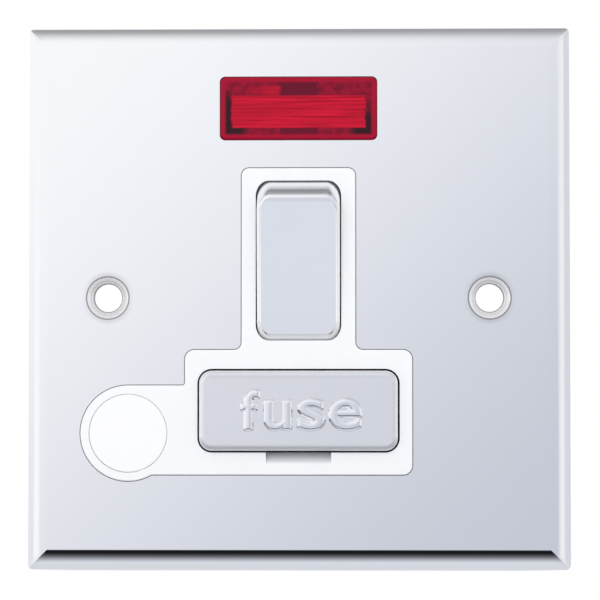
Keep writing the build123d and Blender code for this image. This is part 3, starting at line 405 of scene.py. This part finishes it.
ALONG_STRIP = (1, 1, 9)
strip_brass = metal("strip_brass", (0.83, 0.64, 0.3, 1), (0.66, 0.47, 0.19, 1), 0.3, ALONG_STRIP)
dress(strip_brass, "neutral_contact_bridge", "live_contact_bridge")
dress(strip_brass, "neutral_supply_contact", "live_supply_contact")
dress(strip_brass, "neutral_link", "live_link", "load_clip", "earth_strap")

contact_silver = metal("contact_silver", (0.9, 0.89, 0.87, 1), (0.76, 0.74, 0.7, 1), roughness=0.28)
dress(contact_silver, "neutral_bridge_tip", "live_bridge_tip")


# Terminals: brass blocks in pockets of the housing, with a wire hole from the side and a screw from behind.
# The blocks are sawn from drawn bar, so their marks run the other way; the screws are zinc plated.

ALONG_BAR = (9, 1, 1)
block_brass = metal("block_brass", (0.8, 0.6, 0.26, 1), (0.62, 0.43, 0.16, 1), 0.34, ALONG_BAR)
dress(block_brass, "neutral_supply_terminal", "neutral_load_terminal", "live_load_terminal")
dress(block_brass, "live_supply_terminal", "earth_terminal")
dress(zinc_steel, "terminal_screws")


# Rear housing: a satin moulded box that closes the back, on four screws into the insert's pillars.
# Terminal letters and the earth sign, three bars under a stem, stand proud of its back, as moulded.

HOUSING_GREY = ((0.64, 0.645, 0.65, 1), (0.585, 0.59, 0.595, 1))
base_moulding = moulded("base_moulding", *HOUSING_GREY, roughness=0.46)[0]
dress(base_moulding, "rear_housing")
dress(zinc_steel, "housing_screws")


LETTER_STRAIGHT = 1 / 8
LETTER_ROUND = 1 / 2
LETTER_ROUND_STEPS = 3


def letters(name, words, thickness=0.0, weight=0.0):
    """Words of the built-in font, each way from their middle first straight and then rounded off.

    Returns their mesh and its points as an array. The thickness and the weight are in the font's own units.
    """
    curve = bpy.data.curves.new(name, "FONT")
    curve.body = words
    curve.extrude = LETTER_STRAIGHT * thickness
    curve.offset = weight
    curve.bevel_depth = LETTER_ROUND * thickness
    curve.bevel_resolution = LETTER_ROUND_STEPS
    holder = bpy.data.objects.new(name, curve)
    bpy.context.scene.collection.objects.link(holder)
    bpy.context.view_layer.update()
    flat = bpy.data.meshes.new_from_object(holder.evaluated_get(bpy.context.evaluated_depsgraph_get()))
    bpy.data.objects.remove(holder)
    points = np.empty(len(flat.vertices) * 3)
    flat.vertices.foreach_get("co", points)
    return flat, points.reshape(-1, 3)


def piece(name, mesh, points, material, body):
    """Puts the points into the mesh and the mesh into the scene, dressed, riding a body."""
    mesh.vertices.foreach_set("co", points.ravel())
    mesh.update()
    mesh.name = name
    mesh.materials.clear()
    mesh.materials.append(material)
    made = bpy.data.objects.new(name, mesh)
    bpy.context.scene.collection.objects.link(made)
    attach(made, body)


SIGN_GAP = 2.55 * MM
SIGN_PROUD = 0.3 * MM


def sign_place(terminal):
    """Where a sign stands: a gap inwards of a terminal's inner face, level with the terminal's middle."""
    low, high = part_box(terminal)
    inner = min(low.x, high.x, key=abs)
    return inner - math.copysign(SIGN_GAP, inner), (low.z + high.z) / 2


LETTER_HEIGHT = 3.4 * MM
TERMINAL_LETTERS = {
    "neutral_supply_terminal": "N",
    "neutral_load_terminal": "N",
    "live_load_terminal": "L",
    "live_supply_terminal": "L",
}
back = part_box("rear_housing")[1].y
for count, (terminal, word) in enumerate(TERMINAL_LETTERS.items()):
    name = f"terminal_letter_{count}"
    mesh, flat = letters(name, word, thickness=0.12, weight=0.02)
    low, high = flat.min(0), flat.max(0)
    middle = (flat - (low + high) / 2) * LETTER_HEIGHT / (high - low)[1]
    rise = middle[:, 2] / np.ptp(middle[:, 2]) * 2 * SIGN_PROUD
    sign_x, sign_z = sign_place(terminal)
    points = np.column_stack([sign_x - middle[:, 0], back + rise, sign_z + middle[:, 1]])
    piece(name, mesh, points, base_moulding, "plate_unit")


def bars(middles, halves):
    """Boxes from their middles and half sizes: corner = middle + half * (-1 or 1 along each axis)."""
    corners = np.stack(np.meshgrid((-1, 1), (-1, 1), (-1, 1), indexing="ij"), -1).reshape(-1, 3)
    points = np.asarray(middles)[:, None] + np.asarray(halves)[:, None] * corners
    sides = np.array([(0, 1, 3, 2), (4, 6, 7, 5), (0, 4, 5, 1), (2, 3, 7, 6), (0, 2, 6, 4), (1, 5, 7, 3)])
    faces = (8 * np.arange(len(middles))[:, None, None] + sides).reshape(-1, 4)
    mesh = bpy.data.meshes.new("bars")
    mesh.from_pydata(points.reshape(-1, 3).tolist(), [], faces.tolist())
    return mesh, points.reshape(-1, 3)


EARTH_BAR = 0.22 * MM
EARTH_GAP = 0.85 * MM
EARTH_STEM = 2 * EARTH_GAP
EARTH_WIDTHS = np.array([1.6, 1.05, 0.5]) * MM
sign_x, sign_z = sign_place("earth_terminal")
middles = [(sign_x, back, sign_z - EARTH_GAP * row) for row in range(len(EARTH_WIDTHS))]
halves = [(width, SIGN_PROUD, EARTH_BAR) for width in EARTH_WIDTHS]
middles.append((sign_x, back, sign_z + EARTH_STEM))
halves.append((EARTH_BAR, SIGN_PROUD, EARTH_STEM))
mesh, points = bars(middles, halves)
piece("earth_sign", mesh, points, base_moulding, "plate_unit")


# Front plate: one sheet of pressed steel, chromed and polished, with a bowed edge and two screw holes.
# Only its outside is polished. Studs on its back carry push-on washers, which clamp the insert and the lens.

HOLE_X = 30.15 * MM
BORE_RADIUS = 2.15 * MM
BORE_SHADE = (BORE_RADIUS + 0.24 * MM, BORE_RADIUS + 0.06 * MM)
BORE_UPRIGHT = (-0.6, 0.5)
STEP_RADIUS = 2.68 * MM
STEP_HALF = (0.24 * MM, 0.02 * MM)
STEP_SHADE = (0.3, 0.45)
SINK_RADIUS = 3.36 * MM
SINK_EDGE = 0.2 * MM
SINK_DULL = 0.2
SINK_GREY = 0.9
SINK_LINE = (0.18 * MM, 0.04 * MM)
SINK_PAINTED_SHADE = (0.34, 0.32, 0.33, 1)
DISH_WIDTH = 1.1 * MM
DISH_SHADE = (0.06, 0.3)
EDGE_ARC = 3.6 * MM
INNER_ARC = (EDGE_ARC - 0.75 * MM, EDGE_ARC - 0.95 * MM)
MITRE_HALF = (1.5 * MM, 0.15 * MM)
MITRE_REACH = (0.9 * MM, 2.0 * MM)
MITRE_DULL = 0.26
MILL_LUMP = 0.8 * MM
MILL_STRETCH = (1, 1, 10)
MILL_DULL = (0.28, 0.44)
MILL_STEEL = ((0.66, 0.67, 0.69, 1), (0.53, 0.54, 0.55, 1))
plate_low, plate_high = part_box("front_plate")
plate_chrome, shader, place, colour, gloss = plated("plate_chrome", CHROME, roughness=0.035, swirl=0.03)
x, y, z = place.parts()
width, height = abs(x), abs(z)
radius = place.node("ShaderNodeCombineXYZ", None, {"X": width - HOLE_X, "Z": z}).length()
upright = z / radius
# Painted shade round each screw hole: a dark line at the countersink's rim, a painted shadow at the bore's
# upper edge, a dark step ring that is stronger above, and a dish of shade outside the rim, stronger above
# and below. The countersink is a real shape; the step and the dish are not.
line = ramp(abs(radius - SINK_RADIUS), *SINK_LINE)
sunk = ramp(radius, SINK_RADIUS, SINK_RADIUS - SINK_EDGE)
dish_shade = ramp(radius, SINK_RADIUS + DISH_WIDTH, SINK_RADIUS)
bore_shadow = ramp(radius, *BORE_SHADE) * ramp(upright, *BORE_UPRIGHT)
step = ramp(abs(radius - STEP_RADIUS), *STEP_HALF)
colour = mixed(dish_shade * between(abs(upright), *DISH_SHADE), colour, SINK_PAINTED_SHADE)
colour = mixed(line.at_least(bore_shadow), colour, SINK_PAINTED_SHADE)
colour = mixed(step * between(upright, *STEP_SHADE), colour, SINK_PAINTED_SHADE)
beyond = width.at_least(height) - (plate_high.x - EDGE_ARC)
behind = y - (plate_low.y + EDGE_ARC)
mitre = ramp(abs(width - height), *MITRE_HALF) * ramp(beyond, *MITRE_REACH)
from_arc = place.node("ShaderNodeCombineXYZ", None, {"X": beyond.at_least(0.0), "Y": behind.at_most(0.0)})
inner = ramp(from_arc.length(), *INNER_ARC)
mill = noise(place, MILL_LUMP, detail=3.0, stretch=MILL_STRETCH)
gloss = gloss + SINK_DULL * sunk + MITRE_DULL * mitre + inner * between(mill, *MILL_DULL)
fill(shader, {"Base Color": mixed(inner, colour, mixed(mill, *MILL_STEEL)), "Roughness": gloss})
fill(shader, {"Metallic": 1.0 - SINK_GREY * sunk * (1.0 - inner)})
dress(plate_chrome, "front_plate")
dress(zinc_steel, "plate_retainers")


# Fuse drawer: a white carrier that pulls out with the cartridge fuse, behind a satin chromed face.
# The word on the face is pressed proud of it; the fuse has a glazed barrel and nickel-plated end caps.

SATIN_CHROME = (0.90, 0.905, 0.925, 1)
FACE_CORNER = 1.4 * MM
FACE_LOWER = (drawer_low.z + 1.1 * MM, drawer_low.z + 0.7 * MM)
FACE_LOWER_DULL = 0.32
FACE_UPPER = (drawer_high.z - 1.4 * MM, drawer_high.z - 0.9 * MM)
FACE_UPPER_DULL = 0.2
satin_chrome, shader, place, _, gloss = plated("satin_chrome", SATIN_CHROME, roughness=0.24, swirl=0.06)
x, y, z = place.parts()
corner = FACE_CORNER * ramp(abs(x), drawer_high.x - FACE_CORNER, drawer_high.x)
lower, upper = ramp(z - corner, *FACE_LOWER), ramp(z, *FACE_UPPER)
fill(shader, {"Roughness": gloss + FACE_LOWER_DULL * lower + FACE_UPPER_DULL * upper})
dress(satin_chrome, "carrier_face")

fuse_ceramic = moulded("fuse_ceramic", (0.86, 0.83, 0.75, 1), (0.8, 0.76, 0.67, 1), roughness=0.2)[0]
dress(fuse_ceramic, "fuse_barrel")
ROUND_CAP = (1, 6, 6)
cap_nickel = metal("cap_nickel", (0.8, 0.77, 0.72, 1), (0.7, 0.67, 0.61, 1), 0.22, ROUND_CAP)
dress(cap_nickel, "fuse_caps")


def outline(letter):
    """A letter's outline in the built-in font: both ends of its straight pieces, scaled to a unit square."""
    mesh, points = letters(letter, letter)
    edges, sides = np.empty(2 * len(mesh.edges), int), np.empty(len(mesh.loops), int)
    mesh.edges.foreach_get("vertices", edges)
    mesh.loops.foreach_get("edge_index", sides)
    border = edges.reshape(-1, 2)[np.bincount(sides) == 1]
    bpy.data.meshes.remove(mesh)
    flat = points[:, :2]
    return ((flat - flat.min(0)) / np.ptp(flat, axis=0))[border.T]


def inside_by(spots, start, end):
    """How far spots lie inside an outline, and below 0 how far outside: the distance to its nearest piece.

    A spot is inside where a line from it to the right crosses an odd number of pieces.
    """
    spots, run = spots[:, None], end - start
    share = ((spots - start) * run).sum(-1) / (run ** 2).sum(-1)
    gap = np.linalg.norm(spots - start - share.clip(0, 1)[..., None] * run, axis=-1).min(1)
    level = spots[..., 1]
    spans = (start[:, 1] > level) != (end[:, 1] > level)
    slant = run[:, 0] / np.where(run[:, 1] == 0, 1, run[:, 1])
    crossed = spans & (spots[..., 0] < start[:, 0] + (level - start[:, 1]) * slant)
    return np.where(crossed.sum(1) % 2, gap, -gap)


def raised(inside):
    """Height of a stroke at a distance inside its outline: a flank of about 45 degrees, then a slight crown.

    Flank = proud * (1 - (1 - inside / shoulder)^bend), crown = crown * (1 - (1 - inside / half stroke)^2).
    """
    flank = 1 - (1 - np.minimum(inside / WORD_SHOULDER, 1)) ** WORD_BEND
    crown = 1 - (1 - np.minimum(inside / WORD_HALF_STROKE, 1)) ** 2
    return WORD_PROUD * flank + WORD_CROWN * crown


# A letter's box, in millimetres: its left edge, its right edge and its height above the base line.
WORD_BOXES = {"f": (0.1, 3.4, 6.75), "u": (3.7, 8.4, 5.15), "s": (9.0, 13.6, 5.35), "e": (13.95, 19.4, 5.35)}
WORD_SIZE = (19.4 * MM, 6.75 * MM)
WORD_LEFT = -9.3 * MM
WORD_BASE = -3.25 * MM
WORD_GROW = 0.45 * MM
WORD_SHOULDER = 0.42 * MM
WORD_BEND = 1.3
WORD_HALF_STROKE = 0.92 * MM
WORD_PROUD = 0.34 * MM
WORD_CROWN = 0.055 * MM
WORD_STEP = 0.07 * MM
WORD_MARGIN = 3 * WORD_STEP
WORD_TOP = (WORD_PROUD - 0.05 * MM, WORD_PROUD + 0.015 * MM)
WORD_TOP_CHROME = (0.9, 0.905, 0.93, 1)
word_chrome, shader, place, colour, _ = plated("word_chrome", CHROME, roughness=0.03, swirl=0.03)
x, y, z = place.parts()
fill(shader, {"Base Color": mixed(ramp(drawer_low.y - y, *WORD_TOP), colour, WORD_TOP_CHROME)})

steps = [np.arange(-WORD_MARGIN, reach + WORD_MARGIN + WORD_STEP, WORD_STEP) for reach in WORD_SIZE]
spots = np.stack(np.meshgrid(*steps, indexing="ij"), -1).reshape(-1, 2)
inside = np.full(len(spots), -math.inf)
for letter, (left, right, tall) in WORD_BOXES.items():
    low, high = np.array([left, 0.0]) * MM, np.array([right, tall]) * MM
    start, end = low + WORD_GROW + outline(letter) * (high - low - 2 * WORD_GROW)
    inside = np.maximum(inside, inside_by(spots, start, end) + WORD_GROW)
index = np.arange(len(spots)).reshape([len(step) for step in steps])
faces = np.stack([index[:-1, :-1], index[1:, :-1], index[1:, 1:], index[:-1, 1:]], -1).reshape(-1, 4)
used, faces = np.unique(faces[inside[faces].max(1) > -WORD_STEP], return_inverse=True)
points = np.column_stack([
    WORD_LEFT + spots[used, 0],
    drawer_low.y - raised(inside[used]),
    (drawer_low.z + drawer_high.z) / 2 + WORD_BASE + spots[used, 1],
])
mesh = bpy.data.meshes.new("drawer_word")
mesh.from_pydata(points.tolist(), [], faces.reshape(-1, 4).tolist())
mesh.shade_smooth()
piece("drawer_word", mesh, points, word_chrome, "fuse_drawer")


# Flex outlet: a push-in cup blanks it until a flex is fitted; a bar with two screws clamps the flex inside.
# Both are moulded; the blank comes from another mould than the insert and is a shade whiter. A lip of the
# insert runs round the outlet's low side, behind the plate, and closes the plate's opening there.

blank_white = moulded("blank_white", (0.955, 0.96, 0.975, 1), (0.94, 0.945, 0.965, 1), roughness=0.34)[0]
dress(blank_white, "flex_outlet_blank")
dress(base_moulding, "cord_clamp")
dress(zinc_steel, "cord_clamp_screws")


def arc_bar(name, centre, radii, depths, turns):
    """An oblong section carried along an arc about Y: point = centre + radius * (cosine, sine) of a turn."""
    reach, depth = np.array([(radius, depth) for depth in depths for radius in radii])[[0, 1, 3, 2]].T
    along = [
        centre.x + np.outer(np.cos(turns), reach),
        np.broadcast_to(depth, (len(turns), 4)),
        centre.z + np.outer(np.sin(turns), reach),
    ]
    points = np.stack(along, -1).reshape(-1, 3)
    corner = np.arange(4)
    after = (corner + 1) % 4
    start = 4 * np.arange(len(turns) - 1)[:, None]
    sides = np.stack([start + corner, start + after, start + after + 4, start + corner + 4], -1)
    ends = [corner[::-1], corner + len(points) - 4]
    mesh = bpy.data.meshes.new(name)
    mesh.from_pydata(points.tolist(), [], np.vstack([sides.reshape(-1, 4), ends]).tolist())
    return mesh, points


LIP_RADII = (7.0 * MM, 8.3 * MM)
LIP_DEPTHS = (1.01 * MM, 2.2 * MM)
LIP_TURNS = np.radians(np.linspace(-118, -62, 25))
blank_low, blank_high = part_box("flex_outlet_blank")
behind_plate = [plate_low.y + depth for depth in LIP_DEPTHS]
mesh, points = arc_bar("outlet_lip", (blank_low + blank_high) / 2, LIP_RADII, behind_plate, LIP_TURNS)
piece("outlet_lip", mesh, points, insert_white, "plate_unit")


# Studio: a pale floor under the plate, one large soft lamp, and a white room that the chrome mirrors.
# The room is brighter on the left than on the right, dimmer overhead, and dark below the camera.

FLOOR_Z = cad_box[0].z - 0.05 * MM
FLOOR_HALF = 3.0
floor_mesh = bpy.data.meshes.new("floor")
corners = np.array([(-1, -1), (1, -1), (1, 1), (-1, 1)]) * FLOOR_HALF
floor_mesh.from_pydata([(x, y, FLOOR_Z) for x, y in corners], [], [(0, 1, 2, 3)])
floor = bpy.data.objects.new("floor", floor_mesh)
bpy.context.scene.collection.objects.link(floor)

WHITE = (1, 1, 1, 1)
PAPER = ((0.9, 0.9, 0.9, 1), (0.88, 0.88, 0.88, 1))
PAPER_LUMP = 20 * MM
SHADOW_HALF = (43 * MM, 34 * MM)
SHADOW_FRONT = (-5 * MM, 3 * MM)
SHADOW_REACH = (300 * MM, 80 * MM)
floor_paper, shader, place = finish("floor_paper", Roughness=0.9)
fill(shader, {"Base Color": mixed(noise(place, PAPER_LUMP), *PAPER)})
paper = Shade(floor_paper.node_tree, shader.outputs[0])
white = place.node("ShaderNodeEmission", None, {"Color": WHITE, "Strength": 1.0})
glass = place.node("ShaderNodeBsdfTransparent")
rays = place.node("ShaderNodeLightPath")
x, y, z = place.parts()
shaded = ramp(abs(x), *SHADOW_HALF) * ramp(y, *SHADOW_FRONT) * ramp(place.length(), *SHADOW_REACH)
seen = place.node("ShaderNodeMixShader", None, {0: rays * (1.0 - shaded), 1: paper, 2: white})
under = place.node("ShaderNodeNewGeometry").output("Backfacing")
hidden = rays.output("Is Glossy Ray").at_least(under)
shown = place.node("ShaderNodeMixShader", None, {0: hidden, 1: seen, 2: glass})
fill(floor_paper.node_tree.nodes["Material Output"], {"Surface": shown})
floor_mesh.materials.append(floor_paper)

# The room's tone sweeps from bright, on the left and above, to grey. On it lie patches, each with a colour
# and the ramps that bound it: a part of the direction, where the patch starts there, and where it is full.
# "wide" is how far a direction points to either side.
ROOM_BRIGHT = (0.98, 0.985, 1.01, 1)
ROOM_GREY = (0.575, 0.605, 0.685, 1)
ROOM_SIDE = (0.69, 0.71, 0.75, 1)
ROOM_EDGE = (0.88, 0.885, 0.91, 1)
ROOM_LOW = (0.735, 0.76, 0.84, 1)
ROOM_HIGH = (0.36, 0.365, 0.38, 1)
ROOM_DARK = (0.008, 0.008, 0.01, 1)
ROOM_LEVEL = (0.82, 0.82, 0.82, 1)
SWEEP_X = (-0.12, 0.075)
SWEEP_Z = (-0.06, 0.13)
SWEEP = (-0.25, 0.14)
ROOM_PATCHES = {
    "right wall": (ROOM_SIDE, ("x", 0.3, 0.8), ("y", -0.2, 0.1)),
    "low wall": (ROOM_LOW, ("z", -0.07, -0.13)),
    "pale band": (ROOM_BRIGHT, ("z", -0.1, -0.16), ("z", -0.28, -0.19), ("wide", 0.15, 0.45)),
    "floor ends": (ROOM_HIGH, ("z", -0.18, -0.34), ("wide", 0.2, 0.6)),
    "left window": (ROOM_BRIGHT, ("x", -0.76, -0.98), ("y", 0.2, -0.04), ("z", -0.26, -0.12)),
    "right window": (ROOM_EDGE, ("x", 0.76, 0.98), ("y", 0.2, -0.04), ("z", -0.26, -0.12)),
    "ceiling": (ROOM_HIGH, ("z", 0.2, 0.5), ("y", -0.8, 0.65)),
    "floor behind": (ROOM_SIDE, ("z", -0.3, -0.6), ("y", -0.2, 0.3)),
    "dark floor": (ROOM_DARK, ("z", -0.16, -0.42), ("y", 0.05, -0.9), ("wide", 0.42, 0.2)),
}
world = bpy.data.worlds.new("studio_room")
bpy.context.scene.world = world
world.use_nodes = True
look = Shade(world.node_tree, world.node_tree.nodes.new("ShaderNodeTexCoord").outputs["Generated"])
x, y, z = look.parts()
directions = {"x": x, "y": y, "z": z, "wide": abs(x)}
sweep = x.at_least(SWEEP_X[0]).at_most(SWEEP_X[1]) - z.at_least(SWEEP_Z[0]).at_most(SWEEP_Z[1])
room = mixed(ramp(sweep, *SWEEP), ROOM_BRIGHT, ROOM_GREY)
for paint, *ramps in ROOM_PATCHES.values():
    masks = [ramp(directions[part], start, full) for part, start, full in ramps]
    room = mixed(math.prod(masks), room, paint)
rays = look.node("ShaderNodeLightPath")
mirrored = rays.output("Is Glossy Ray") + rays.output("Is Transmission Ray")
room = mixed(mirrored.at_most(1.0), ROOM_LEVEL, room)
room = mixed(rays, room, WHITE)
fill(world.node_tree.nodes["Background"], {"Color": room, "Strength": 1.0})

LAMP_PLACE = (-0.15, -0.9, 0.45)
LAMP_SIZE = 1.0
LAMP_POWER = 3.4
lamp = bpy.data.objects.new("soft_lamp", bpy.data.lights.new("soft_lamp", "AREA"))
lamp.data.size = LAMP_SIZE
lamp.data.energy = LAMP_POWER
lamp.location = LAMP_PLACE
lamp.rotation_euler = (-lamp.location).to_track_quat("-Z", "Y").to_euler()
lamp.visible_glossy = False
bpy.context.scene.collection.objects.link(lamp)

VIEW_DISTANCE = 0.45
VIEW_BELOW = math.radians(1.975)
VIEW_RIGHT = math.radians(1.248)
FRAME_WIDTH = 95.665 * MM
AIM = (0.142 * MM, 0.0, -0.186 * MM)
camera = bpy.data.objects.new("camera", bpy.data.cameras.new("camera"))
reach = VIEW_DISTANCE * math.cos(VIEW_BELOW)
camera.location = (
    AIM[0] + reach * math.sin(VIEW_RIGHT),
    AIM[1] - reach * math.cos(VIEW_RIGHT),
    AIM[2] - VIEW_DISTANCE * math.sin(VIEW_BELOW),
)
camera.rotation_euler = (math.pi / 2 + VIEW_BELOW, 0, VIEW_RIGHT)
camera.data.lens = camera.data.sensor_width * VIEW_DISTANCE / FRAME_WIDTH
camera.data.clip_start = 10 * MM
bpy.context.scene.collection.objects.link(camera)
bpy.context.scene.camera = camera
bpy.context.scene.view_settings.view_transform = "Standard"
